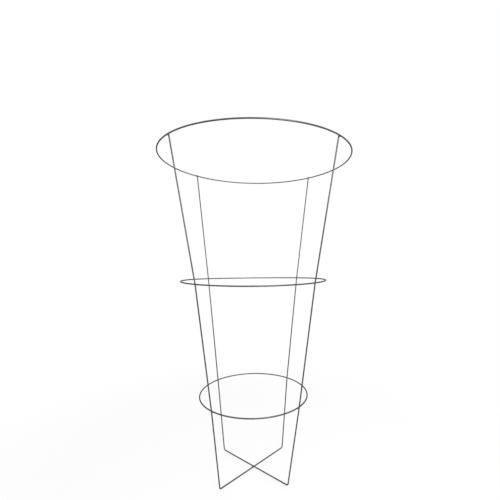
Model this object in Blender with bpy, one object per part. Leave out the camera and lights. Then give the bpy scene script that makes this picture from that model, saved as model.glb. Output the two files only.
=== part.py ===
"""Wire tomato cage: three hoops welded to two crossed leg frames of bent wire.

Metres, +Z up. The origin is under the middle of the top ring, in the plane that the cage stands on.
-Y is the front, and the four legs stand on the diagonals. Each leg frame is one wire: down a leg,
along the ground to the opposite corner, and up the other leg. The two ground bars cross in the middle.
The legs pass outside the two lower rings and end inside the top one.
"""

import math
from typing import NamedTuple

import bmesh
import bpy
from mathutils import Matrix, Vector

# Wire
WIRE_DIAMETER = 0.00305
CONTACT_GAP = 0.0003

# Rings, measured along the middle of their wire
TOP_RING_DIAMETER = 0.4572
MIDDLE_RING_DIAMETER = 0.3484
BOTTOM_RING_DIAMETER = 0.2624
MIDDLE_RING_HEIGHT = 0.4647
BOTTOM_RING_HEIGHT = 0.1876

# Leg frames
CAGE_HEIGHT = 0.762
FOOT_REACH = 0.1071
CORNER_BEND_RADIUS = 0.006
LEG_BEND_RADIUS = 0.040

# Welds
TIE_WELD_FILLET = 0.0009
TIE_WELD_THICKNESS = 0.0027
JOINT_WELD_WEB = 0.0008
JOINT_WELD_WIDTH = 0.0032
JOINT_WELD_FLASH = 0.0009

# Facets
WIRE_SIDES = 12
RING_CHORD = 0.012
CORNER_BEND_STEPS = 8
LEG_BEND_STEPS = 2
LEAST_BEND = math.radians(0.05)
WELD_SEGMENTS = 16
WELD_RINGS = 10

UP = Vector((0, 0, 1))
WIRE_RADIUS = WIRE_DIAMETER / 2
SEAT_DISTANCE = WIRE_DIAMETER + CONTACT_GAP
OUTSIDE = 1
INSIDE = -1


class Ring(NamedTuple):
    """A closed hoop, and how far the welding left it off centre, out of level and out of flat."""

    name: str
    diameter: float
    height: float
    legs_pass: int
    centre: tuple[float, float]
    rise_right: float
    rise_back: float
    saddle: float
    joint_bearing: float


class Leg(NamedTuple):
    """A leg by its bearing in degrees, and how far it turns from it at each ring and at its foot."""

    name: str
    bearing: float
    turns: tuple[float, float, float]
    foot_turn: float
    foot_extra_reach: float


class Bend(NamedTuple):
    """A bend in a wire, by the radius of its middle line and the number of chords that draw it."""

    radius: float
    steps: int


class Wire(NamedTuple):
    """A round wire along a route. The section keeps one pair of flats square to the facing direction."""

    name: str
    route: list[Vector]
    facing: Vector


RINGS = (
    Ring(
        "top_ring",
        TOP_RING_DIAMETER,
        CAGE_HEIGHT - WIRE_RADIUS,
        INSIDE,
        centre=(0.0, 0.0),
        rise_right=-0.0117,
        rise_back=0.0037,
        saddle=0.0012,
        joint_bearing=72,
    ),
    Ring(
        "middle_ring",
        MIDDLE_RING_DIAMETER,
        MIDDLE_RING_HEIGHT,
        OUTSIDE,
        centre=(-0.0024, 0.0005),
        rise_right=0.0094,
        rise_back=-0.0051,
        saddle=0.0015,
        joint_bearing=104,
    ),
    Ring(
        "bottom_ring",
        BOTTOM_RING_DIAMETER,
        BOTTOM_RING_HEIGHT,
        OUTSIDE,
        centre=(-0.0019, 0.0007),
        rise_right=0.0209,
        rise_back=0.0009,
        saddle=0.0,
        joint_bearing=18,
    ),
)

FRONT_LEFT = Leg("front_left", 225, (-5.2, 1.7, 1.5), -1.4, 0.0015)
FRONT_RIGHT = Leg("front_right", 315, (1.1, 0.0, 1.7), 1.1, -0.0039)
BACK_RIGHT = Leg("back_right", 45, (-1.8, -1.0, -0.6), 0.6, 0.0057)
BACK_LEFT = Leg("back_left", 135, (1.1, -0.4, 0.2), 3.8, -0.0032)

# Each leg frame with the height of its ground bar: the second bar lies on the first.
LEG_FRAMES = (
    ("lower_leg_frame", (FRONT_LEFT, BACK_RIGHT), WIRE_RADIUS),
    ("upper_leg_frame", (BACK_LEFT, FRONT_RIGHT), WIRE_RADIUS + SEAT_DISTANCE),
)


def clear_scene() -> None:
    """Remove every object that the scene holds."""
    for existing in list(bpy.data.objects):
        bpy.data.objects.remove(existing)


def steel(name: str, colour: tuple[float, float, float], roughness: float) -> bpy.types.Material:
    """Return a bare metal material."""
    material = bpy.data.materials.new(name)
    material.use_nodes = True
    shader = material.node_tree.nodes["Principled BSDF"]
    shader.inputs["Base Color"].default_value = (*colour, 1)
    shader.inputs["Metallic"].default_value = 1
    shader.inputs["Roughness"].default_value = roughness
    return material


def add_object(name: str, mesh: bpy.types.Mesh, material: bpy.types.Material) -> bpy.types.Object:
    """Put a mesh in the scene as one smooth-shaded object."""
    mesh.materials.append(material)
    mesh.shade_smooth()
    mesh.set_sharp_from_angle(angle=math.radians(50))
    piece = bpy.data.objects.new(name, mesh)
    bpy.context.scene.collection.objects.link(piece)
    return piece


def outward(bearing: float) -> Vector:
    """Return the level direction at a bearing in degrees, counted from +X towards +Y."""
    angle = math.radians(bearing)
    return Vector((math.cos(angle), math.sin(angle), 0))


def ring_point(ring: Ring, bearing: float, offset: float = 0.0) -> Vector:
    """Return the point of a ring's middle line at a bearing, or one as high and further out."""
    arm = outward(bearing) * (ring.diameter / 2 + offset)
    rise = ring.rise_right * arm.x + ring.rise_back * arm.y
    rise += ring.saddle * math.cos(math.radians(2 * bearing))
    return Vector((*ring.centre, ring.height)) + arm + UP * rise


def ring_wire(ring: Ring) -> Wire:
    """Return the hoop's wire, bent round from one side of its butt joint to the other."""
    open_length = JOINT_WELD_WEB + 2 * CONTACT_GAP
    half_open = math.degrees(open_length / ring.diameter)
    chords = math.ceil(math.pi * ring.diameter / RING_CHORD)
    first = ring.joint_bearing + half_open
    sweep = 360 - 2 * half_open
    route = [ring_point(ring, first + sweep * step / chords) for step in range(chords + 1)]
    return Wire(ring.name, route, UP)


def foot_point(leg: Leg, height: float) -> Vector:
    """Return where the middle lines of a leg and its ground bar would meet without the bend."""
    arm = outward(leg.bearing + leg.foot_turn) * (FOOT_REACH + leg.foot_extra_reach)
    return arm + UP * height


def span_slopes() -> list[float]:
    """Return how far the legs lean outwards below each ring, as angles."""
    levels = [
        (ring.diameter / 2 + ring.legs_pass * SEAT_DISTANCE, ring.height) for ring in RINGS
    ]
    levels.append((FOOT_REACH, 0.0))
    return [
        math.atan((upper_reach - lower_reach) / (upper_height - lower_height))
        for (upper_reach, upper_height), (lower_reach, lower_height) in zip(levels, levels[1:])
    ]


def seat_offset(index: int) -> float:
    """Return how far out from a ring's middle line a leg's middle line passes to lie against it."""
    ring = RINGS[index]
    slopes = span_slopes()
    steepest = max(abs(slope) for slope in slopes[max(index - 1, 0) : index + 1])
    chord_sag = RING_CHORD**2 / (4 * ring.diameter) if ring.legs_pass == INSIDE else 0.0
    return ring.legs_pass * (SEAT_DISTANCE / math.cos(steepest) + chord_sag)


def tie_points(leg: Leg) -> list[Vector]:
    """Return the points where a leg passes the rings, from the top down."""
    return [
        ring_point(ring, leg.bearing + turn, seat_offset(index))
        for index, (ring, turn) in enumerate(zip(RINGS, leg.turns))
    ]


def corner_of_bend_through(before: Vector, point: Vector, after: Vector, radius: float) -> Vector:
    """Return the corner to bend to a radius so that the bend's middle passes through a point."""
    arriving = (point - before).normalized()
    leaving = (after - point).normalized()
    overshoot = radius * (1 / math.cos(arriving.angle(leaving) / 2) - 1)
    return point + (arriving - leaving).normalized() * overshoot


def rounded(corners: list[Vector], bends: list[Bend]) -> list[Vector]:
    """Return the route through the corners, with each inner corner bent.

    Args:
        corners: The route's ends and corners in order.
        bends: The bend at each inner corner.
    """
    route = [corners[0]]
    for before, corner, after, bend in zip(corners, corners[1:], corners[2:], bends):
        arriving = (corner - before).normalized()
        leaving = (after - corner).normalized()
        turn = arriving.angle(leaving)
        if turn < LEAST_BEND:
            route.append(corner)
            continue
        start = corner - arriving * bend.radius * math.tan(turn / 2)
        inward = (leaving - arriving * math.cos(turn)).normalized()
        for step in range(bend.steps + 1):
            turned = turn * step / bend.steps
            along = arriving * math.sin(turned) + inward * (1 - math.cos(turned))
            route.append(start + along * bend.radius)
    route.append(corners[-1])
    return route


def leg_corners(leg: Leg, foot: Vector) -> list[Vector]:
    """Return a leg's corners from its cut end down to the lowest ring, each for a bend on its tie."""
    ties = tie_points(leg)
    end = ties[0] + (ties[0] - ties[1]).normalized() * WIRE_RADIUS
    bent = [
        corner_of_bend_through(above, tie, below, LEG_BEND_RADIUS)
        for above, tie, below in zip(ties, ties[1:], [*ties[2:], foot])
    ]
    return [end, *bent]


def leg_frame_wire(name: str, legs: tuple[Leg, Leg], bar_height: float) -> Wire:
    """Return the wire of one leg frame: a leg, its ground bar and the opposite leg."""
    feet = [foot_point(leg, bar_height) for leg in legs]
    first, second = (leg_corners(leg, foot) for leg, foot in zip(legs, feet))
    leg_bends = [Bend(LEG_BEND_RADIUS, LEG_BEND_STEPS)] * (len(RINGS) - 1)
    foot_bends = [Bend(CORNER_BEND_RADIUS, CORNER_BEND_STEPS)] * 2
    route = rounded([*first, *feet, *reversed(second)], [*leg_bends, *foot_bends, *leg_bends])
    return Wire(name, route, UP.cross((feet[1] - feet[0]).normalized()))


def extended(route: list[Vector], length: float) -> list[Vector]:
    """Return the route with both ends drawn out by a length."""
    start = route[0] + (route[0] - route[1]).normalized() * length
    end = route[-1] + (route[-1] - route[-2]).normalized() * length
    return [start, *route[1:-1], end]


def swept_mesh(name: str, wire: Wire, radius: float, end_length: float = 0.0) -> bpy.types.Mesh:
    """Sweep a many-sided section, a radius to each flat, along the wire's route."""
    route = extended(wire.route, end_length)
    corner_radius = radius / math.cos(math.pi / WIRE_SIDES)
    shape = bmesh.new()
    sections = []
    for index, point in enumerate(route):
        before = route[max(index - 1, 0)]
        after = route[min(index + 1, len(route) - 1)]
        along = ((after - point).normalized() + (point - before).normalized()).normalized()
        across = along.cross(wire.facing).normalized()
        raised = across.cross(along)
        section = []
        for side in range(WIRE_SIDES):
            angle = 2 * math.pi * (side + 0.5) / WIRE_SIDES
            offset = across * math.cos(angle) + raised * math.sin(angle)
            section.append(shape.verts.new(point + offset * corner_radius))
        sections.append(section)
    for near, far in zip(sections, sections[1:]):
        for side in range(WIRE_SIDES):
            beyond = (side + 1) % WIRE_SIDES
            shape.faces.new((near[side], near[beyond], far[beyond], far[side]))
    shape.faces.new(sections[0])
    shape.faces.new(sections[-1])
    bmesh.ops.recalc_face_normals(shape, faces=shape.faces)
    mesh = bpy.data.meshes.new(name)
    shape.to_mesh(mesh)
    shape.free()
    return mesh


def add_wire(wire: Wire, material: bpy.types.Material) -> bpy.types.Object:
    """Add the wire's solid, and return the hidden body that keeps welds a contact gap from it."""
    add_object(wire.name, swept_mesh(wire.name, wire, WIRE_RADIUS), material)
    name = f"{wire.name}_clearance"
    body = swept_mesh(name, wire, WIRE_RADIUS + CONTACT_GAP, CONTACT_GAP)
    clearance = bpy.data.objects.new(name, body)
    bpy.context.scene.collection.objects.link(clearance)
    clearance.hide_render = True
    clearance.display_type = "WIRE"
    return clearance


def add_weld(
    name: str,
    placement: Matrix,
    half_sizes: tuple[float, float, float],
    clearances: list[bpy.types.Object],
    material: bpy.types.Material,
) -> None:
    """Add a bead of weld metal, a flattened ball with the wires that it joins cut out of it.

    Args:
        name: The piece's name.
        placement: Where the bead's middle is and how it is turned.
        half_sizes: The ball's half sizes along its own axes.
        clearances: The bodies to cut out of it.
        material: The piece's material.
    """
    ball = bmesh.new()
    bmesh.ops.create_uvsphere(ball, u_segments=WELD_SEGMENTS, v_segments=WELD_RINGS, radius=1)
    bmesh.ops.scale(ball, vec=half_sizes, verts=ball.verts)
    bmesh.ops.transform(ball, matrix=placement, verts=ball.verts)
    mesh = bpy.data.meshes.new(name)
    ball.to_mesh(mesh)
    ball.free()
    weld = add_object(name, mesh, material)
    for clearance in clearances:
        cut = weld.modifiers.new(f"Seat on {clearance.name}", "BOOLEAN")
        cut.operation = "DIFFERENCE"
        cut.object = clearance


def placement_of(middle: Vector, along: Vector, near_up: Vector) -> Matrix:
    """Return the placement with X along one direction and Y as near as it can be to another."""
    x_axis = along.normalized()
    z_axis = x_axis.cross(near_up).normalized()
    y_axis = z_axis.cross(x_axis)
    turn = Matrix((x_axis, y_axis, z_axis)).transposed().to_4x4()
    return Matrix.Translation(middle) @ turn


def add_tie_welds(
    legs_of: list[tuple[Leg, bpy.types.Object]],
    ring_clearances: list[bpy.types.Object],
    material: bpy.types.Material,
) -> None:
    """Weld each leg to each ring, in the crook between the two wires."""
    reach = WIRE_RADIUS + TIE_WELD_FILLET
    half_sizes = (reach, reach, TIE_WELD_THICKNESS / 2)
    for leg, frame_clearance in legs_of:
        points = [*tie_points(leg), foot_point(leg, 0.0)]
        for index, (ring, ring_clearance) in enumerate(zip(RINGS, ring_clearances)):
            bearing = leg.bearing + leg.turns[index]
            middle = ring_point(ring, bearing, seat_offset(index) / 2)
            tangent = ring_point(ring, bearing + 1) - ring_point(ring, bearing - 1)
            placement = placement_of(middle, tangent, points[index] - points[index + 1])
            name = f"weld_{ring.name}_{leg.name}"
            add_weld(name, placement, half_sizes, [ring_clearance, frame_clearance], material)


def bar_crossing() -> Vector:
    """Return where the two ground bars cross, seen from above."""
    (a, b), (c, d) = ([foot_point(leg, 0.0) for leg in legs] for _, legs, _ in LEG_FRAMES)
    share = (c - a).cross(d - c).z / (b - a).cross(d - c).z
    return a + (b - a) * share


def add_crossing_weld(
    frame_clearances: list[bpy.types.Object], material: bpy.types.Material
) -> None:
    """Weld the upper ground bar to the lower one where they cross."""
    bars = [foot_point(legs[1], 0.0) - foot_point(legs[0], 0.0) for _, legs, _ in LEG_FRAMES]
    middle_height = (LEG_FRAMES[0][2] + LEG_FRAMES[1][2]) / 2
    placement = placement_of(bar_crossing() + UP * middle_height, *bars)
    reach = WIRE_RADIUS + TIE_WELD_FILLET
    half_sizes = (reach, reach, TIE_WELD_THICKNESS / 2)
    add_weld("weld_ground_bars", placement, half_sizes, frame_clearances, material)


def add_joint_welds(
    ring_clearances: list[bpy.types.Object], material: bpy.types.Material
) -> None:
    """Close each ring with the bead of its butt joint."""
    half_width = JOINT_WELD_WIDTH / 2
    half_height = WIRE_RADIUS + JOINT_WELD_FLASH
    for ring, clearance in zip(RINGS, ring_clearances):
        middle = ring_point(ring, ring.joint_bearing)
        ahead = ring_point(ring, ring.joint_bearing + 1)
        behind = ring_point(ring, ring.joint_bearing - 1)
        placement = placement_of(middle, ahead - behind, UP)
        half_sizes = (half_width, half_height, half_height)
        add_weld(f"weld_{ring.name}_joint", placement, half_sizes, [clearance], material)


def main() -> None:
    """Build the cage."""
    clear_scene()
    wire_steel = steel("galvanised_wire", (0.30, 0.30, 0.30), 0.45)
    weld_steel = steel("weld_metal", (0.22, 0.21, 0.20), 0.60)
    ring_clearances = [add_wire(ring_wire(ring), wire_steel) for ring in RINGS]
    frame_clearances = [add_wire(leg_frame_wire(*frame), wire_steel) for frame in LEG_FRAMES]
    legs_of = [
        (leg, clearance)
        for (_, legs, _), clearance in zip(LEG_FRAMES, frame_clearances)
        for leg in legs
    ]
    add_tie_welds(legs_of, ring_clearances, weld_steel)
    add_crossing_weld(frame_clearances, weld_steel)
    add_joint_welds(ring_clearances, weld_steel)


main()
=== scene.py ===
"""Looks of the wire tomato cage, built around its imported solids.

Metres, +Z up, -Y the front. Each wire is modelled as a straight drawn length, bent along its route
and pressed flat where it is welded, as it was made. Each weld is the metal squeezed out between the
wires that it joins.
"""

from __future__ import annotations

import logging
import math
from collections.abc import Callable
from dataclasses import dataclass, field
from enum import Enum

import bmesh
import bpy
from bpy.types import Material, Node, NodeSocket, Object, World
from mathutils import Matrix, Vector


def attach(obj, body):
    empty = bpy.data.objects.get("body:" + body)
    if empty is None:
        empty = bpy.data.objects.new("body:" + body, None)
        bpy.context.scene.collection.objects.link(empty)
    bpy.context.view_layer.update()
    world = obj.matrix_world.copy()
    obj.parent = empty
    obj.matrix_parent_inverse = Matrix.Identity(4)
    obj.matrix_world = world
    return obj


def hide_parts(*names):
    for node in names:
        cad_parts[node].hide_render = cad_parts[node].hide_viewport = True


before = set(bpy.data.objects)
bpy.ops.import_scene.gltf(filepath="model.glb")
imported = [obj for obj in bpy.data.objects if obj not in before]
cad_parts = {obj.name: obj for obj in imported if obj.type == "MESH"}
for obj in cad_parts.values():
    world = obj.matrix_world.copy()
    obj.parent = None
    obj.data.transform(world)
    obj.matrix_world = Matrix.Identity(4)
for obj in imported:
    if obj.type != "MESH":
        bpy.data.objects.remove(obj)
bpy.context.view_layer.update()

BODY = "root"
MM = 0.001
UP = Vector((0.0, 0.0, 1.0))
WIRE_DIAMETER = 3.05 * MM
CAGE_HEIGHT = 762 * MM

log = logging.getLogger("tomato_cage")


class LegSide(Enum):
    """Which side of a hoop's wire the legs pass."""

    OUTSIDE = 1
    INSIDE = -1


class Slot(Enum):
    """The record's material slots."""

    WIRE = "galvanised_wire"
    WELD = "weld_metal"


# Selecting and finishing meshes


def deselect_all() -> None:
    """Leave nothing selected, so that an operator acts on new pieces only."""
    bpy.ops.object.select_all(action="DESELECT")


def activate(piece: Object) -> None:
    """Select one piece alone and make it the active one.

    Args:
        piece: The piece.
    """
    deselect_all()
    piece.select_set(True)
    bpy.context.view_layer.objects.active = piece


def settle(piece: Object) -> None:
    """Put a piece's place into its mesh, so that its object sits at the origin."""
    activate(piece)
    bpy.ops.object.transform_apply(location=True, rotation=True, scale=True)


def apply_modifiers(piece: Object) -> None:
    """Apply a piece's modifiers in their order.

    Args:
        piece: The piece.
    """
    activate(piece)
    for modifier in list(piece.modifiers):
        bpy.ops.object.modifier_apply(modifier=modifier.name)


def shade(piece: Object, crease_degrees: float) -> None:
    """Shade a piece smooth, with creases kept above an angle."""
    activate(piece)
    bpy.ops.object.shade_smooth_by_angle(angle=math.radians(crease_degrees))


def declare(piece: Object, node: str, finish: Material) -> None:
    """Dress a finished piece and let it stand for its node.

    Args:
        piece: The finished piece.
        node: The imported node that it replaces.
        finish: The piece's material.
    """
    piece.data.materials.clear()
    piece.data.materials.append(finish)
    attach(piece, BODY)
    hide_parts(node)
    log.info("%s stands for %s, with %d faces", piece.name, node, len(piece.data.polygons))


# Shader maths

Colour = NodeSocket | tuple[float, float, float, float]


class Value:
    """A shader socket that holds a number, with the arithmetic that finishes are written in."""

    def __init__(self, sheet: Sheet, socket: NodeSocket) -> None:
        """Wrap an output socket of a node on a sheet."""
        self.sheet = sheet
        self.socket = socket

    def _maths(
        self, operation: str, first: Value | float, second: Value | float, clamp: bool = False
    ) -> Value:
        """Add one Math node.

        Args:
            operation: The node's operation.
            first: The first value or number.
            second: The second value or number.
            clamp: Whether the result stays between 0 and 1.

        Returns:
            The node's result.
        """
        settings = {"operation": operation, "use_clamp": clamp}
        node = self.sheet.node("ShaderNodeMath", settings, {0: first, 1: second})
        return Value(self.sheet, node.outputs[0])

    def __add__(self, other: Value | float) -> Value:
        """Return the sum."""
        return self._maths("ADD", self, other)

    def __radd__(self, other: Value | float) -> Value:
        """Return the sum."""
        return self._maths("ADD", other, self)

    def __sub__(self, other: Value | float) -> Value:
        """Return the difference."""
        return self._maths("SUBTRACT", self, other)

    def __rsub__(self, other: Value | float) -> Value:
        """Return the difference."""
        return self._maths("SUBTRACT", other, self)

    def __mul__(self, other: Value | float) -> Value:
        """Return the product."""
        return self._maths("MULTIPLY", self, other)

    def __rmul__(self, other: Value | float) -> Value:
        """Return the product."""
        return self._maths("MULTIPLY", other, self)

    def clamped(self) -> Value:
        """Return the value kept between 0 and 1."""
        return self._maths("ADD", self, 0.0, clamp=True)

    def ramp(self, low: float, high: float) -> Value:
        """Add a smooth step.

        Args:
            low: The value up to which the step is 0.
            high: The value from which it is 1.

        Returns:
            The step's result.
        """
        settings = {"interpolation_type": "SMOOTHSTEP"}
        inputs = {"Value": self, "From Min": low, "From Max": high}
        node = self.sheet.node("ShaderNodeMapRange", settings, inputs)
        return Value(self.sheet, node.outputs[0])


class Sheet:
    """A material's or world's node tree, and the few ways in which finishes add nodes to it."""

    def __init__(self, owner: Material | World) -> None:
        """Start on an owner's empty tree.

        Args:
            owner: The material or world.
        """
        owner.use_nodes = True
        self.tree = owner.node_tree
        self.tree.nodes.clear()

    def node(self, kind: str, settings: dict[str, object], inputs: dict) -> Node:
        """Add a node.

        Args:
            kind: The node's type.
            settings: The node's own settings, by name.
            inputs: A number, colour, value or socket for each input, by its name or place.

        Returns:
            The new node.
        """
        made = self.tree.nodes.new(kind)
        for name, setting in settings.items():
            setattr(made, name, setting)
        for name, given in inputs.items():
            if isinstance(given, Value):
                given = given.socket
            if isinstance(given, NodeSocket):
                self.tree.links.new(given, made.inputs[name])
            else:
                made.inputs[name].default_value = given
        return made

    def value(self, kind: str, settings: dict, inputs: dict, output: str | int = 0) -> Value:
        """Add a node and return one of its outputs as a value."""
        return Value(self, self.node(kind, settings, inputs).outputs[output])

    def stretched(self, vector: NodeSocket, scale: tuple[float, float, float]) -> NodeSocket:
        """Scale a vector axis by axis.

        Args:
            vector: The vector's socket.
            scale: The scale along each axis.

        Returns:
            The scaled vector's socket.
        """
        settings = {"operation": "MULTIPLY"}
        node = self.node("ShaderNodeVectorMath", settings, {0: vector, 1: scale})
        return node.outputs[0]

    def noise(self, vector: NodeSocket, size: float, detail: float = 3.0) -> Value:
        """Return cloudy noise whose patches are about a size across."""
        inputs = {"Vector": vector, "Scale": 1 / size, "Detail": detail, "Roughness": 0.55}
        return self.value("ShaderNodeTexNoise", {}, inputs, "Fac")

    def cells(self, vector: NodeSocket, size: float) -> tuple[Value, Value]:
        """Add a pattern of crystal-shaped cells.

        Args:
            vector: The coordinates to read.
            size: About how far across a cell is.

        Returns:
            A random value for each cell, and how far away the cell's middle is.
        """
        node = self.node("ShaderNodeTexVoronoi", {}, {"Vector": vector, "Scale": 1 / size})
        split = self.node("ShaderNodeSeparateColor", {}, {0: node.outputs["Color"]})
        return Value(self, split.outputs[0]), Value(self, node.outputs["Distance"])

    def warped(self, vector: NodeSocket, size: float, push: float) -> NodeSocket:
        """Push coordinates about, so that what they draw gets uneven edges.

        Args:
            vector: The coordinates.
            size: About how far apart they are pushed differently.
            push: How far they are pushed at most.

        Returns:
            The new coordinates' socket.
        """
        noise = self.node("ShaderNodeTexNoise", {}, {"Vector": vector, "Scale": 1 / size})
        inputs = {0: noise.outputs["Color"], 1: (push, push, push), 2: vector}
        return self.node("ShaderNodeVectorMath", {"operation": "MULTIPLY_ADD"}, inputs).outputs[0]

    def specks(self, vector: NodeSocket, spacing: float, share: float) -> Value:
        """Return 1 in uneven specks of all sizes and 0 elsewhere.

        Args:
            vector: The coordinates to read.
            spacing: How far apart the specks lie.
            share: The largest speck's radius as a share of the spacing.

        Returns:
            The mask of the specks.
        """
        unevenness = spacing / 3
        size, distance = self.cells(self.warped(vector, unevenness, unevenness), spacing)
        reach = distance + share * (1 - size)
        return 1 - reach.ramp(share * 0.6, share)

    def mixed(self, share: Value, first: Colour, second: Colour) -> NodeSocket:
        """Return a colour between two others.

        Args:
            share: How much of the second colour there is.
            first: The first colour or its socket.
            second: The second colour or its socket.

        Returns:
            The mixed colour's socket.
        """
        settings = {"data_type": "RGBA", "blend_type": "MIX"}
        node = self.node("ShaderNodeMix", settings, {"Factor": share, 6: first, 7: second})
        return node.outputs[2]

    def shaded(self, colour: Colour, level: Value) -> NodeSocket:
        """Make a colour lighter or darker.

        Args:
            colour: The colour or its socket.
            level: How light it becomes, 1 for no change.

        Returns:
            The new colour's socket.
        """
        even = self.node("ShaderNodeCombineColor", {}, {0: level, 1: level, 2: level})
        settings = {"data_type": "RGBA", "blend_type": "MULTIPLY"}
        inputs = {"Factor": 1.0, 6: colour, 7: even.outputs[0]}
        return self.node("ShaderNodeMix", settings, inputs).outputs[2]

    def bump(self, height: Value, depth: float) -> NodeSocket:
        """Return the normal of a surface whose height varies by a depth in metres."""
        inputs = {"Height": height, "Distance": depth, "Strength": 1.0}
        return self.node("ShaderNodeBump", {}, inputs).outputs[0]

    def metal(
        self, colour: Colour, edge_level: float, roughness: Value, normal: NodeSocket
    ) -> None:
        """End the sheet in bare metal.

        Args:
            colour: Its colour.
            edge_level: How light it is at a glancing angle.
            roughness: Its roughness.
            normal: Its normal.
        """
        inputs = {
            "Base Color": colour,
            "Metallic": 1.0,
            "Roughness": roughness.clamped(),
            "Specular Tint": grey(edge_level),
            "Normal": normal,
        }
        shader = self.node("ShaderNodeBsdfPrincipled", {}, inputs)
        self.node("ShaderNodeOutputMaterial", {}, {"Surface": shader.outputs[0]})


def grey(level: float, warmth: float = 0.0) -> tuple[float, float, float, float]:
    """Return a grey, a little warm or cold."""
    return (level * (1 + warmth), level, level * (1 - warmth), 1.0)


# Finishes


@dataclass(frozen=True)
class GalvanisedWire:
    """Zinc-coated drawn wire: draw lines, small spangle, white rust, rubbed streaks and burnt zinc.

    Its colours are greys by level and warmth. The patterns read the wire's own coordinates from
    before it was bent, kept as an attribute.
    """

    zinc: tuple[float, float] = (0.105, -0.01)
    burnt: tuple[float, float] = (0.08925, 0.04)
    ash: tuple[float, float] = (0.15225, 0.02)
    roughness: float = 0.36
    edge_level: float = 0.35
    bump_depth: float = 0.02 * MM
    line_width: float = 0.16 * MM
    line_length: float = 14 * MM
    rub_width: float = 0.6 * MM
    rub_length: float = 26 * MM
    spangle: float = 1.3 * MM
    spangle_stretch: float = 0.45
    oxide_patch: float = 9 * MM
    stain_patch: float = 30.6 * MM
    pit_spacing: float = 1.9 * MM
    pit_share: float = 0.15
    grain: float = 0.35 * MM
    craze: float = 0.28 * MM
    craze_stretch: float = 0.22

    def material(self) -> Material:
        """Make the finish.

        Returns:
            The material.
        """
        made = bpy.data.materials.new("galvanised_wire_finish")
        sheet = Sheet(made)
        attribute = {"attribute_name": STRAIGHT_PLACE}
        straight = sheet.node("ShaderNodeAttribute", attribute, {}).outputs["Vector"]
        heat = sheet.value("ShaderNodeAttribute", {"attribute_name": HEAT}, {}, "Fac")
        bend = sheet.value("ShaderNodeAttribute", {"attribute_name": BEND}, {}, "Fac")

        lines = (self.line_width / self.line_length, 1.0, 1.0)
        draw_lines = sheet.noise(sheet.stretched(straight, lines), self.line_width, 2.0)
        streaks = (self.rub_width / self.rub_length, 1.0, 1.0)
        rubbed = sheet.noise(sheet.stretched(straight, streaks), self.rub_width, 2.0)
        rubbed = rubbed.ramp(0.56, 0.70)
        flakes = (self.spangle_stretch, 1.0, 1.0)
        spangle, _ = sheet.cells(sheet.stretched(straight, flakes), self.spangle)
        cloud = sheet.noise(straight, self.oxide_patch, 4.0)
        oxide = cloud.ramp(0.48, 0.66)
        stain = sheet.noise(straight, self.stain_patch, 3.0).ramp(0.52, 0.75)
        pits = sheet.specks(straight, self.pit_spacing, self.pit_share)
        grain = sheet.noise(straight, self.grain, 4.0)
        cracks = sheet.stretched(straight, (1.0, self.craze_stretch, self.craze_stretch))
        crazing = sheet.noise(cracks, self.craze, 2.0).ramp(0.50, 0.62) * bend

        level = 0.60 + 0.40 * draw_lines + 0.24 * spangle + 0.30 * oxide - 0.22 * stain
        level = level + 0.40 * rubbed - 0.35 * pits - 0.30 * crazing
        zinc = sheet.shaded(grey(*self.zinc), level)
        burnt = sheet.shaded(grey(*self.burnt), 0.65 + 0.7 * grain)
        ash = sheet.shaded(grey(*self.ash), 0.7 + 0.6 * grain)
        colour = sheet.mixed(heat.ramp(0.02, 0.30) * cloud.ramp(0.40, 0.55), zinc, ash)
        colour = sheet.mixed(heat.ramp(0.25, 0.80) * (0.60 + 0.40 * cloud), colour, burnt)
        roughness = self.roughness - 0.08 + 0.14 * spangle + 0.18 * oxide - 0.12 * rubbed
        roughness = roughness + 0.14 * heat + 0.12 * crazing
        height = 0.5 * draw_lines + 0.3 * grain + 0.3 * oxide - 0.8 * pits - 0.6 * crazing
        sheet.metal(colour, self.edge_level, roughness, sheet.bump(height, self.bump_depth))
        return made


@dataclass(frozen=True)
class WeldMetal:
    """Steel melted at a weld: dark, scaly and rough, with pale ash of the burnt zinc."""

    steel: tuple[float, float] = (0.12, 0.04)
    ash: tuple[float, float] = (0.23, 0.01)
    roughness: float = 0.58
    edge_level: float = 0.3
    bump_depth: float = 0.06 * MM
    scale_patch: float = 0.8 * MM
    cloud_patch: float = 2.2 * MM
    ash_patch: float = 1.3 * MM
    pit_spacing: float = 0.9 * MM
    pit_share: float = 0.22

    def material(self) -> Material:
        """Make the finish.

        Returns:
            The material.
        """
        made = bpy.data.materials.new("weld_metal_finish")
        sheet = Sheet(made)
        place = sheet.node("ShaderNodeTexCoord", {}, {}).outputs["Object"]
        scale = sheet.noise(place, self.scale_patch, 5.0)
        cloud = sheet.noise(place, self.cloud_patch, 3.0)
        ash = sheet.noise(place, self.ash_patch, 6.0).ramp(0.55, 0.72)
        pits = sheet.specks(place, self.pit_spacing, self.pit_share)
        steel = sheet.shaded(grey(*self.steel), 0.65 + 0.7 * scale - 0.35 * pits)
        colour = sheet.mixed(ash * 0.8, steel, grey(*self.ash))
        roughness = self.roughness - 0.1 + 0.2 * cloud + 0.15 * ash
        height = scale + 0.4 * cloud - 0.7 * pits
        sheet.metal(colour, self.edge_level, roughness, sheet.bump(height, self.bump_depth))
        return made


# Wire

STRAIGHT_PLACE = "straight_place"
HEAT = "heat"
BEND = "bend"

# Where a stretch of wire starts and where it ends, along the wire
Stretch = tuple[float, float]


@dataclass(frozen=True)
class Press:
    """Where an electrode pressed on a wire: the wire's middle there, and the way it faces."""

    place: Vector
    facing: Vector


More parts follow.
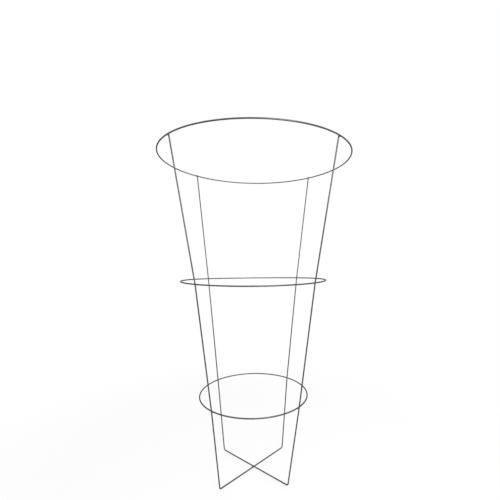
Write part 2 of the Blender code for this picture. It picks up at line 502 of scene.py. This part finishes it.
@dataclass(frozen=True)
class WireStock:
    """The drawn wire that the whole cage is bent from."""

    diameter: float = WIRE_DIAMETER
    contact_gap: float = 0.3 * MM
    sides: int = 32
    crease_degrees: float = 32
    section_spacing: float = 5 * MM
    close_spacing: float = 0.5 * MM
    most_cuts: int = 50
    end_chamfer: float = 0.22 * MM
    heat_reach: float = 11 * MM
    press_depth: float = 0.16 * MM
    press_reach: float = 3.6 * MM

    @property
    def radius(self) -> float:
        """Half the diameter."""
        return self.diameter / 2

    @property
    def seat_distance(self) -> float:
        """How far apart the middle lines of two wires lie where they cross."""
        return self.diameter + self.contact_gap

    def drawn(self, name: str, length: float) -> Object:
        """Draw a straight wire along +X from the origin, with chamfered ends.

        Args:
            name: The piece's name.
            length: The wire's length.

        Returns:
            The straight wire.
        """
        deselect_all()
        bpy.ops.mesh.primitive_cylinder_add(
            vertices=self.sides,
            radius=self.radius,
            depth=length,
            end_fill_type="NGON",
            location=(length / 2, 0, 0),
            rotation=(0, math.pi / 2, 0),
        )
        piece = bpy.context.active_object
        piece.name = name
        settle(piece)
        bpy.ops.object.mode_set(mode="EDIT")
        bpy.ops.mesh.select_mode(type="EDGE")
        self._select_edges(piece, lambda a, b: abs(a.x - b.x) < length / 2)
        bpy.ops.mesh.bevel(offset=self.end_chamfer, segments=2, affect="EDGES")
        self._split_lengthwise(piece, 0.0, length, self.section_spacing)
        bpy.ops.object.mode_set(mode="OBJECT")
        return piece

    @staticmethod
    def _select_edges(piece: Object, wanted: Callable[[Vector, Vector], bool]) -> int:
        """Select the edges whose two ends pass a test.

        Args:
            piece: The object in edit mode.
            wanted: The test, which takes the places of an edge's two ends.

        Returns:
            How many edges were selected.
        """
        shape = bmesh.from_edit_mesh(piece.data)
        for part in (*shape.verts, *shape.edges, *shape.faces):
            part.select = False
        count = 0
        for edge in shape.edges:
            if wanted(edge.verts[0].co, edge.verts[1].co):
                edge.select_set(True)
                count += 1
        bmesh.update_edit_mesh(piece.data)
        return count

    def _split_lengthwise(self, piece: Object, start: float, end: float, spacing: float) -> None:
        """Cut across a straight wire in edit mode until its sections lie close enough.

        Args:
            piece: The straight wire.
            start: Where the cuts start, along the wire.
            end: Where they end.
            spacing: The furthest that two sections may then lie apart.
        """
        while True:
            spans = []

            def too_long(a: Vector, b: Vector) -> bool:
                """Tell whether an edge runs lengthwise, in the stretch, and is too long.

                Args:
                    a: The place of one of its ends.
                    b: The place of the other.

                Returns:
                    Whether it is to be cut.
                """
                low, high = min(a.x, b.x), max(a.x, b.x)
                chosen = high - low > spacing and high > start and low < end
                if chosen:
                    spans.append(high - low)
                return chosen

            if not self._select_edges(piece, too_long):
                return
            cuts = min(self.most_cuts, math.ceil(max(spans) / spacing) - 1)
            bpy.ops.mesh.subdivide(number_cuts=max(cuts, 1))

    def bent(
        self, name: str, route: list[Vector], bends: list[Stretch], presses: list[Press]
    ) -> Object:
        """Draw a wire, bend it along a route and mark what the welding did to it.

        Args:
            name: The piece's name.
            route: The points of the wire's middle line.
            bends: Where each tight bend starts and ends, along the wire.
            presses: Where it was pressed and welded.

        Returns:
            The finished wire.
        """
        length = route_length(route)
        piece = self.drawn(name, length)
        stretches = list(bends)
        for press in presses:
            nearest = min(range(len(route)), key=lambda i: (route[i] - press.place).length)
            middle = route_length(route[: nearest + 1])
            stretches.append((middle - self.press_reach, middle + self.press_reach))
        bpy.ops.object.mode_set(mode="EDIT")
        for start, end in stretches:
            self._split_lengthwise(piece, start, end, self.close_spacing)
        bpy.ops.object.mode_set(mode="OBJECT")
        self._remember_straight(piece, route[0], bends)
        guide = self._guide(f"{name}_guide", route)
        bend = piece.modifiers.new("Bend along the route", "CURVE")
        bend.object = guide
        bend.deform_axis = "POS_X"
        apply_modifiers(piece)
        bpy.data.objects.remove(guide)
        self._press(piece, presses)
        shade(piece, self.crease_degrees)
        return piece

    @staticmethod
    def _guide(name: str, route: list[Vector]) -> Object:
        """Lay a curve for a wire to follow.

        Args:
            name: The curve's name.
            route: The points that it runs through.

        Returns:
            The curve.
        """
        path = bpy.data.curves.new(name, "CURVE")
        path.dimensions = "3D"
        spline = path.splines.new("POLY")
        spline.points.add(len(route) - 1)
        for point, place in zip(spline.points, route):
            point.co = (*place, 1)
        guide = bpy.data.objects.new(name, path)
        bpy.context.scene.collection.objects.link(guide)
        return guide

    def _remember_straight(self, piece: Object, start: Vector, bends: list[Stretch]) -> None:
        """Keep what the finish reads from the straight wire.

        Args:
            piece: The straight wire.
            start: The route's start, which moves the pattern on so that no two wires match.
            bends: Where each tight bend starts and ends.
        """
        moved = Vector((start.x + 2 * start.y + 3 * start.z, 0, 0))
        places = piece.data.attributes.new(STRAIGHT_PLACE, "FLOAT_VECTOR", "POINT")
        for vertex, place in zip(piece.data.vertices, places.data):
            place.vector = vertex.co + moved
        strains = piece.data.attributes.new(BEND, "FLOAT", "POINT")
        for vertex, strain in zip(piece.data.vertices, strains.data):
            strain.value = float(any(low <= vertex.co.x <= high for low, high in bends))

    def _press(self, piece: Object, presses: list[Press]) -> None:
        """Flatten a wire a little where electrodes pressed it, and store how much it was heated.

        Args:
            piece: The bent wire.
            presses: Where it was pressed and welded.
        """
        heats = piece.data.attributes.new(HEAT, "FLOAT", "POINT")
        for vertex, heat in zip(piece.data.vertices, heats.data):
            press = min(presses, key=lambda press: (vertex.co - press.place).length)
            arm = vertex.co - press.place
            share = max(0.0, 1 - arm.length / self.heat_reach)
            heat.value = share * share * (3 - 2 * share)
            along = math.sqrt(max(0.0, arm.length_squared - self.radius**2))
            hold = max(0.0, 1 - (along / self.press_reach) ** 2)
            limit = self.radius - self.press_depth * hold
            over = arm.dot(press.facing) - limit
            if hold > 0 and over > 0:
                vertex.co -= press.facing * over


def route_length(route: list[Vector]) -> float:
    """Return the length of the line through a route's points."""
    return sum((b - a).length for a, b in zip(route, route[1:]))


def outward(bearing: float) -> Vector:
    """Return the level direction at a bearing in degrees, counted from +X towards +Y."""
    angle = math.radians(bearing)
    return Vector((math.cos(angle), math.sin(angle), 0))


@dataclass(frozen=True)
class Hoop:
    """A hoop: one length of wire rolled round and butt-welded, as level as the welding left it."""

    name: str
    diameter: float
    height: float
    legs_pass: LegSide
    centre: tuple[float, float]
    rise_right: float
    rise_back: float
    saddle: float
    joint_bearing: float
    joint_opening: float = 1.4 * MM
    chord: float = 2 * MM

    def point(self, bearing: float, offset: float = 0.0) -> Vector:
        """Find a point of the hoop's middle line, or one as high beside it.

        Args:
            bearing: The bearing in degrees, counted from +X towards +Y.
            offset: How far outside the middle line the point lies.

        Returns:
            The point.
        """
        arm = outward(bearing) * (self.diameter / 2 + offset)
        rise = self.rise_right * arm.x + self.rise_back * arm.y
        rise += self.saddle * math.cos(math.radians(2 * bearing))
        return Vector((*self.centre, self.height)) + arm + UP * rise

    def tangent(self, bearing: float) -> Vector:
        """Return the direction of the wire at a bearing."""
        return (self.point(bearing + 0.5) - self.point(bearing - 0.5)).normalized()

    def route(self) -> list[Vector]:
        """Lay out the middle line from one side of the butt joint round to the other.

        Returns:
            The line's points.
        """
        half_open = math.degrees(self.joint_opening / self.diameter)
        sweep = 360 - 2 * half_open
        chords = math.ceil(math.pi * self.diameter / self.chord)
        first = self.joint_bearing + half_open
        return [self.point(first + sweep * step / chords) for step in range(chords + 1)]

    def build(self, stock: WireStock, presses: list[Press], finish: Material) -> None:
        """Roll the hoop and dress it.

        Args:
            stock: The wire that it is rolled from.
            presses: Where it was pressed and welded.
            finish: Its material.
        """
        piece = stock.bent(f"{self.name}_wire", self.route(), [], presses)
        declare(piece, self.name, finish)


@dataclass(frozen=True)
class Leg:
    """A leg, by its bearing and by how far it turns from it at each hoop and at its foot."""

    name: str
    bearing: float
    turns: tuple[float, float, float]
    foot_turn: float
    foot_reach: float

    def foot(self, height: float) -> Vector:
        """Return where the middle lines of the leg and its ground bar would meet."""
        return outward(self.bearing + self.foot_turn) * self.foot_reach + UP * height


@dataclass(frozen=True)
class LegFrame:
    """One wire bent into a leg, the bar along the ground and the opposite leg."""

    name: str
    legs: tuple[Leg, Leg]
    bar_height: float
    corner_radius: float = 6 * MM
    leg_bend_radius: float = 40 * MM
    bend_chord: float = 0.4 * MM

    def _leg_line(self, leg: Leg, ties: list[Vector], stock: WireStock) -> list[Vector]:
        """Lay out a leg from its cut end down to the lowest hoop.

        Args:
            leg: The leg.
            ties: The points of its middle line at the hoops, from the top down.
            stock: The wire that it is bent from.

        Returns:
            The leg's end and the corners of its bends.
        """
        end = ties[0] + (ties[0] - ties[1]).normalized() * stock.radius
        corners = [end]
        for above, tie, below in zip(ties, ties[1:], [*ties[2:], leg.foot(self.bar_height)]):
            arriving = (tie - above).normalized()
            leaving = (below - tie).normalized()
            overshoot = self.leg_bend_radius * (1 / math.cos(arriving.angle(leaving) / 2) - 1)
            corners.append(tie + (arriving - leaving).normalized() * overshoot)
        return corners

    def _route(
        self, corners: list[Vector], radii: list[float]
    ) -> tuple[list[Vector], list[Stretch]]:
        """Round a line's corners.

        Args:
            corners: The line's ends and corners.
            radii: The bend's radius at each inner corner.

        Returns:
            The route, and where each tight bend starts and ends along it.
        """
        route = [corners[0]]
        bends = []
        for before, corner, after, radius in zip(corners, corners[1:], corners[2:], radii):
            arriving = (corner - before).normalized()
            leaving = (after - corner).normalized()
            turn = arriving.angle(leaving)
            start = corner - arriving * radius * math.tan(turn / 2)
            inward = (leaving - arriving * math.cos(turn)).normalized()
            steps = max(2, math.ceil(radius * turn / self.bend_chord))
            begins = route_length([*route, start])
            for step in range(steps + 1):
                turned = turn * step / steps
                away = arriving * math.sin(turned) + inward * (1 - math.cos(turned))
                route.append(start + away * radius)
            if radius == self.corner_radius:
                bends.append((begins, begins + radius * turn))
        route.append(corners[-1])
        return route, bends

    def build(
        self,
        stock: WireStock,
        ties: dict[str, list[Vector]],
        presses: list[Press],
        finish: Material,
    ) -> None:
        """Bend the frame and dress it.

        Args:
            stock: The wire that it is bent from.
            ties: For each leg, the points of its middle line at the hoops, from the top down.
            presses: Where it was pressed and welded.
            finish: Its material.
        """
        first, second = (self._leg_line(leg, ties[leg.name], stock) for leg in self.legs)
        feet = [leg.foot(self.bar_height) for leg in self.legs]
        corners = [*first, *feet, *reversed(second)]
        leg_radii = [self.leg_bend_radius] * (len(first) - 1)
        radii = [*leg_radii, self.corner_radius, self.corner_radius, *leg_radii]
        route, bends = self._route(corners, radii)
        piece = stock.bent(f"{self.name}_wire", route, bends, presses)
        declare(piece, self.name, finish)


# Welds


def turned_to(direction: Vector) -> Matrix:
    """Return the turn that takes +Z to a direction."""
    return direction.to_track_quat("Z", "Y").to_matrix().to_4x4()


@dataclass(frozen=True)
class BeadShape:
    """How weld metal is modelled: lumps of it joined, run together and roughened."""

    voxel: float = 0.12 * MM
    smoothing: int = 12
    roughening: float = 0.12 * MM
    ripple: float = 0.9 * MM
    crease_degrees: float = 60
    lump_segments: int = 32
    lump_rings: int = 20

    def lump(self, place: Vector, along: Vector, half_sizes: tuple[float, float, float]) -> Object:
        """Add a rounded lump of metal.

        Args:
            place: The lump's middle.
            along: The direction of its last half size.
            half_sizes: Its half sizes.

        Returns:
            The lump.
        """
        bpy.ops.mesh.primitive_uv_sphere_add(
            segments=self.lump_segments,
            ring_count=self.lump_rings,
            radius=1.0,
            location=place,
            rotation=turned_to(along).to_euler(),
            scale=half_sizes,
        )
        return bpy.context.active_object

    def run_together(self, name: str, lumps: list[Object]) -> Object:
        """Melt lumps into one bead.

        Args:
            name: The bead's name.
            lumps: The lumps, which overlap.

        Returns:
            The bead.
        """
        deselect_all()
        for lump in lumps:
            lump.select_set(True)
        bpy.context.view_layer.objects.active = lumps[0]
        bpy.ops.object.join()
        bead = bpy.context.active_object
        bead.name = name
        settle(bead)
        melt = bead.modifiers.new("Melt", "REMESH")
        melt.mode = "VOXEL"
        melt.voxel_size = self.voxel
        flow = bead.modifiers.new("Flow", "SMOOTH")
        flow.iterations = self.smoothing
        flow.factor = 0.5
        texture = bpy.data.textures.new("Weld ripple", "CLOUDS")
        texture.noise_scale = self.ripple
        texture.noise_depth = 2
        scale = bead.modifiers.new("Scale", "DISPLACE")
        scale.texture = texture
        scale.texture_coords = "LOCAL"
        scale.strength = self.roughening
        scale.mid_level = 0.5
        apply_modifiers(bead)
        shade(bead, self.crease_degrees)
        return bead


@dataclass(frozen=True)
class Crossing:
    """Two wires that cross and touch: the place between them and the directions of their lines.

    The first wire lies on the side that the cross product of the directions points away from.
    """

    name: str
    place: Vector
    lines: tuple[Vector, Vector]

    @property
    def apart(self) -> Vector:
        """The direction from the first wire to the second."""
        return self.lines[0].cross(self.lines[1]).normalized()

    def presses(self, stock: WireStock) -> tuple[Press, Press]:
        """Return where the electrodes pressed the first wire and the second."""
        arm = self.apart * stock.seat_distance / 2
        return Press(self.place - arm, -self.apart), Press(self.place + arm, self.apart)


@dataclass(frozen=True)
class CrossWeld:
    """The weld of two crossing wires: metal squeezed out round the place where they meet.

    A collar of it creeps along each wire on the side that faces the other wire.
    """

    crossing: Crossing
    slides: tuple[float, float] = (0.0, 0.0)
    shape: BeadShape = field(default_factory=BeadShape)
    collar_length: float = 2.7 * MM
    collar_rise: float = 0.12 * MM
    collar_shift: float = 0.42 * MM
    nugget_reach: float = 2.1 * MM
    nugget_thickness: float = 1.15 * MM

    def build(self, stock: WireStock, finish: Material) -> None:
        """Model the bead and dress it.

        Args:
            stock: The wire that it joins.
            finish: Its material.
        """
        deselect_all()
        crossing = self.crossing
        thick = stock.radius + self.collar_rise
        nugget = (self.nugget_reach, self.nugget_reach, self.nugget_thickness)
        lumps = [self.shape.lump(crossing.place, crossing.apart, nugget)]
        for press, line, slide in zip(crossing.presses(stock), crossing.lines, self.slides):
            middle = press.place - press.facing * self.collar_shift + line * slide
            lumps.append(self.shape.lump(middle, line, (thick, thick, self.collar_length)))
        bead = self.shape.run_together(f"{crossing.name}_bead", lumps)
        declare(bead, crossing.name, finish)


@dataclass(frozen=True)
class ButtWeld:
    """The butt joint of a hoop: the two ends pressed together, with a lip of metal pushed out."""

    name: str
    place: Vector
    along: Vector
    shape: BeadShape = field(default_factory=BeadShape)
    swelling_length: float = 3.6 * MM
    swelling_rise: float = 0.14 * MM
    lip_radius: float = 0.45 * MM
    lip_rise: float = 0.02 * MM
    lip_segments: tuple[int, int] = (40, 14)

    def build(self, stock: WireStock, finish: Material) -> None:
        """Model the bead and dress it.

        Args:
            stock: The wire that it joins.
            finish: Its material.
        """
        deselect_all()
        thick = stock.radius + self.swelling_rise
        swelling = self.shape.lump(self.place, self.along, (thick, thick, self.swelling_length))
        bpy.ops.mesh.primitive_torus_add(
            major_radius=stock.radius + self.lip_rise,
            minor_radius=self.lip_radius,
            major_segments=self.lip_segments[0],
            minor_segments=self.lip_segments[1],
            location=self.place,
            rotation=turned_to(self.along).to_euler(),
        )
        lip = bpy.context.active_object
        bead = self.shape.run_together(f"{self.name}_bead", [swelling, lip])
        declare(bead, self.name, finish)


# The cage


@dataclass
class Cage:
    """The whole cage: three hoops, two leg frames and the welds that join them."""

    stock: WireStock = field(default_factory=WireStock)
    hoops: tuple[Hoop, ...] = (
        Hoop(
            "top_ring", diameter=0.4572, height=CAGE_HEIGHT - WIRE_DIAMETER / 2,
            legs_pass=LegSide.INSIDE, centre=(0.0, 0.0),
            rise_right=-0.0117, rise_back=0.0037, saddle=1.2 * MM, joint_bearing=72,
        ),
        Hoop(
            "middle_ring", diameter=0.3484, height=0.4647,
            legs_pass=LegSide.OUTSIDE, centre=(-2.4 * MM, 0.5 * MM),
            rise_right=0.0094, rise_back=-0.0051, saddle=1.5 * MM, joint_bearing=104,
        ),
        Hoop(
            "bottom_ring", diameter=0.2624, height=0.1876,
            legs_pass=LegSide.OUTSIDE, centre=(-1.9 * MM, 0.7 * MM),
            rise_right=0.0209, rise_back=0.0009, saddle=0.0, joint_bearing=18,
        ),
    )
    front_left: Leg = Leg("front_left", 225, (-5.2, 1.7, 1.5), foot_turn=-1.4, foot_reach=0.1086)
    front_right: Leg = Leg("front_right", 315, (1.1, 0.0, 1.7), foot_turn=1.1, foot_reach=0.1032)
    back_right: Leg = Leg("back_right", 45, (-1.8, -1.0, -0.6), foot_turn=0.6, foot_reach=0.1128)
    back_left: Leg = Leg("back_left", 135, (1.1, -0.4, 0.2), foot_turn=3.8, foot_reach=0.1039)
    mean_foot_reach: float = 0.1071
    top_slide: float = 1.5 * MM

    def __post_init__(self) -> None:
        """Lay out the two leg frames: the upper one's bar lies on the lower one's."""
        radius = self.stock.radius
        self.frames = (
            LegFrame("lower_leg_frame", (self.front_left, self.back_right), radius),
            LegFrame(
                "upper_leg_frame",
                (self.back_left, self.front_right),
                radius + self.stock.seat_distance,
            ),
        )

    def _seat_offset(self, index: int) -> float:
        """Find how far out from a hoop's middle line the middle line of a leg passes.

        Args:
            index: The hoop's place, from the top down.

        Returns:
            The offset, below zero for a leg inside the hoop.
        """
        levels = [
            (hoop.diameter / 2 + hoop.legs_pass.value * self.stock.seat_distance, hoop.height)
            for hoop in self.hoops
        ]
        levels.append((self.mean_foot_reach, 0.0))
        slopes = [
            math.atan((upper[0] - lower[0]) / (upper[1] - lower[1]))
            for upper, lower in zip(levels, levels[1:])
        ]
        steepest = max(abs(slope) for slope in slopes[max(index - 1, 0) : index + 1])
        return self.hoops[index].legs_pass.value * self.stock.seat_distance / math.cos(steepest)

    def _ties(self, leg: Leg) -> list[Vector]:
        """Find where a leg's middle line passes the hoops.

        Args:
            leg: The leg.

        Returns:
            The points, from the top down.
        """
        return [
            hoop.point(leg.bearing + turn, self._seat_offset(index))
            for index, (hoop, turn) in enumerate(zip(self.hoops, leg.turns))
        ]

    def _bar_crossing(self) -> Crossing:
        """Find where the ground bars cross.

        Returns:
            The crossing, whose first wire is the lower one.
        """
        low, high = self.frames
        a, b = (leg.foot(0.0) for leg in low.legs)
        c, d = (leg.foot(0.0) for leg in high.legs)
        share = (c - a).cross(d - c).z / (b - a).cross(d - c).z
        place = a + (b - a) * share + UP * (low.bar_height + high.bar_height) / 2
        lines = ((b - a).normalized(), (d - c).normalized())
        if lines[0].cross(lines[1]).z < 0:
            lines = (lines[0], -lines[1])
        return Crossing("weld_ground_bars", place, lines)

    def _tie_crossing(self, leg: Leg, index: int, ties: list[Vector]) -> Crossing:
        """Find where a leg crosses a hoop.

        Args:
            leg: The leg.
            index: The hoop's place, from the top down.
            ties: The points of the leg's middle line at the hoops, from the top down.

        Returns:
            The crossing, whose first wire is the inner one.
        """
        hoop = self.hoops[index]
        bearing = leg.bearing + leg.turns[index]
        place = hoop.point(bearing, self._seat_offset(index) / 2)
        below = [*ties[1:], leg.foot(0.0)]
        line = (ties[index] - below[index]).normalized()
        if index > 0:
            line = (line + (ties[index - 1] - ties[index]).normalized()).normalized()
        tangent = hoop.tangent(bearing)
        lines = (tangent, line) if hoop.legs_pass is LegSide.OUTSIDE else (-line, tangent)
        if lines[0].cross(lines[1]).dot(outward(bearing)) < 0:
            lines = (-lines[0], lines[1])
        return Crossing(f"weld_{hoop.name}_{leg.name}", place, lines)

    def build(self, wire: Material, weld: Material) -> None:
        """Build every piece of the cage.

        Args:
            wire: The finish of the wires.
            weld: The finish of the welds.
        """
        ties = {leg.name: self._ties(leg) for leg_frame in self.frames for leg in leg_frame.legs}
        bars = self._bar_crossing()
        bar_presses = zip(self.frames, bars.presses(self.stock))
        presses = {leg_frame.name: [press] for leg_frame, press in bar_presses}
        welds = [CrossWeld(bars)]
        for index, hoop in enumerate(self.hoops):
            joint = hoop.point(hoop.joint_bearing)
            presses[hoop.name] = [Press(joint, outward(hoop.joint_bearing))]
            for leg_frame in self.frames:
                for leg in leg_frame.legs:
                    crossing = self._tie_crossing(leg, index, ties[leg.name])
                    inner, outer = crossing.presses(self.stock)
                    outside = hoop.legs_pass is LegSide.OUTSIDE
                    presses[leg_frame.name].append(outer if outside else inner)
                    presses[hoop.name].append(inner if outside else outer)
                    welds.append(CrossWeld(crossing, self._slides(crossing, index)))
        for hoop in self.hoops:
            hoop.build(self.stock, presses[hoop.name], wire)
        for leg_frame in self.frames:
            leg_frame.build(self.stock, ties, presses[leg_frame.name], wire)
        for cross_weld in welds:
            cross_weld.build(self.stock, weld)
        for hoop in self.hoops:
            place = hoop.point(hoop.joint_bearing)
            along = hoop.tangent(hoop.joint_bearing)
            ButtWeld(f"weld_{hoop.name}_joint", place, along).build(self.stock, weld)

    def _slides(self, crossing: Crossing, index: int) -> tuple[float, float]:
        """Find how far a weld's two collars lie along their wires.

        Args:
            crossing: Where the wires cross.
            index: The hoop's place, from the top down.

        Returns:
            The two shifts. A leg ends at the top hoop, so the metal creeps down from there.
        """
        if index > 0:
            return (0.0, 0.0)
        down = -1 if crossing.lines[0].z > 0 else 1
        return (down * self.top_slide, 0.0)


# The studio


@dataclass(frozen=True)
class SoftBox:
    """A square soft lamp, by where it stands, what it faces, its side and its power in watts."""

    name: str
    place: tuple[float, float, float]
    facing: tuple[float, float, float]
    side: float
    power: float

    def build(self) -> None:
        """Hang the lamp."""
        light = bpy.data.lights.new(self.name, "AREA")
        light.shape = "SQUARE"
        light.size = self.side
        light.energy = self.power
        lamp = bpy.data.objects.new(self.name, light)
        lamp.location = self.place
        towards = Vector(self.facing) - Vector(self.place)
        lamp.visible_camera = False
        lamp.rotation_euler = towards.to_track_quat("-Z", "Y").to_euler()
        bpy.context.scene.collection.objects.link(lamp)


@dataclass(frozen=True)
class PhotoCamera:
    """The camera as it stood for the photograph, worked out from the hoops and legs."""

    place: tuple[float, float, float] = (-0.0214, -0.7747, 0.5103)
    turn_right: float = 1.471
    tip_down: float = 0.824
    focal_pixels: float = 315.0
    axis_pixel: tuple[float, float] = (253.51, 266.56)
    image_side: int = 500
    sensor: float = 36.0
    clip: tuple[float, float] = (0.01, 100.0)

    def build(self) -> None:
        """Set up the camera."""
        data = bpy.data.cameras.new("photo_camera")
        data.sensor_width = self.sensor
        data.lens = self.sensor * self.focal_pixels / self.image_side
        half = self.image_side / 2
        data.shift_x = (half - self.axis_pixel[0]) / self.image_side
        data.shift_y = (self.axis_pixel[1] - half) / self.image_side
        data.clip_start, data.clip_end = self.clip
        camera = bpy.data.objects.new("photo_camera", data)
        camera.location = self.place
        right, down = math.radians(self.turn_right), math.radians(self.tip_down)
        camera.rotation_euler = (math.pi / 2 - down, 0, -right)
        bpy.context.scene.collection.objects.link(camera)
        bpy.context.scene.camera = camera


@dataclass(frozen=True)
class Studio:
    """A white studio: a pale floor, a white surround and soft lamps."""

    floor_side: float = 8.0
    floor_drop: float = 0.1 * MM
    floor_level: float = 0.95
    shadow_share: float = 0.2
    shadow_reach: tuple[float, float] = (0.35, 0.9)
    fill: float = 0.54
    lamps: tuple[SoftBox, ...] = (
        SoftBox("key_lamp", (0.35, -0.9, 0.8), (0, 0, 0.5), side=0.5, power=6.5),
        SoftBox("side_lamp", (1.3, 0.3, 1.0), (0, 0, 0.5), side=0.8, power=3.5),
        SoftBox("top_lamp", (0, 0.3, 2.4), (0, 0, 0.5), side=1.4, power=13),
    )

    @staticmethod
    def _seen_share(sheet: Sheet) -> Value:
        """Tell what the camera sees, itself or by way of metal, from other light.

        Args:
            sheet: The sheet of the material or world.

        Returns:
            1 for what it sees and 0 for other light.
        """
        rays = sheet.node("ShaderNodeLightPath", {}, {}).outputs
        names = ("Is Camera Ray", "Is Glossy Ray", "Is Transmission Ray")
        camera, glossy, through = (Value(sheet, rays[name]) for name in names)
        return (camera + glossy + through).clamped()

    def _floor_finish(self) -> Material:
        """Make the floor's finish: pale and matt, and plain white further off.

        Returns:
            The material.
        """
        made = bpy.data.materials.new("studio_floor")
        sheet = Sheet(made)
        place = sheet.node("ShaderNodeTexCoord", {}, {}).outputs["Object"]
        reach = sheet.value("ShaderNodeVectorMath", {"operation": "LENGTH"}, {0: place}, "Value")
        away = reach.ramp(*self.shadow_reach)
        matt = sheet.node("ShaderNodeBsdfDiffuse", {}, {"Color": grey(self.floor_level)})
        white = sheet.node("ShaderNodeEmission", {}, {"Color": grey(1.0), "Strength": 1.0})
        plain = self._seen_share(sheet) * ((1 - self.shadow_share) + self.shadow_share * away)
        inputs = {0: plain, 1: matt.outputs[0], 2: white.outputs[0]}
        mix = sheet.node("ShaderNodeMixShader", {}, inputs)
        sheet.node("ShaderNodeOutputMaterial", {}, {"Surface": mix.outputs[0]})
        return made

    def _surround(self) -> None:
        """Surround the scene with white, which fills in the lamps' light more softly."""
        world = bpy.data.worlds.new("studio_surround")
        bpy.context.scene.world = world
        sheet = Sheet(world)
        strength = self.fill + (1 - self.fill) * self._seen_share(sheet)
        inputs = {"Color": grey(1.0), "Strength": strength}
        background = sheet.node("ShaderNodeBackground", {}, inputs)
        sheet.node("ShaderNodeOutputWorld", {}, {"Surface": background.outputs[0]})

    def build(self) -> None:
        """Set up the floor, the surround and the lamps."""
        deselect_all()
        place = (0, 0, -self.floor_drop)
        bpy.ops.mesh.primitive_plane_add(size=self.floor_side, location=place)
        floor = bpy.context.active_object
        floor.name = "studio_floor"
        floor.data.materials.append(self._floor_finish())
        self._surround()
        for lamp in self.lamps:
            lamp.build()
        bpy.context.scene.view_settings.view_transform = "Standard"


def main() -> None:
    """Build the cage and the studio round it."""
    logging.basicConfig(level=logging.INFO, format="%(name)s: %(message)s")
    Cage().build(GalvanisedWire().material(), WeldMetal().material())
    PhotoCamera().build()
    Studio().build()


if __name__ == "__main__":
    main()
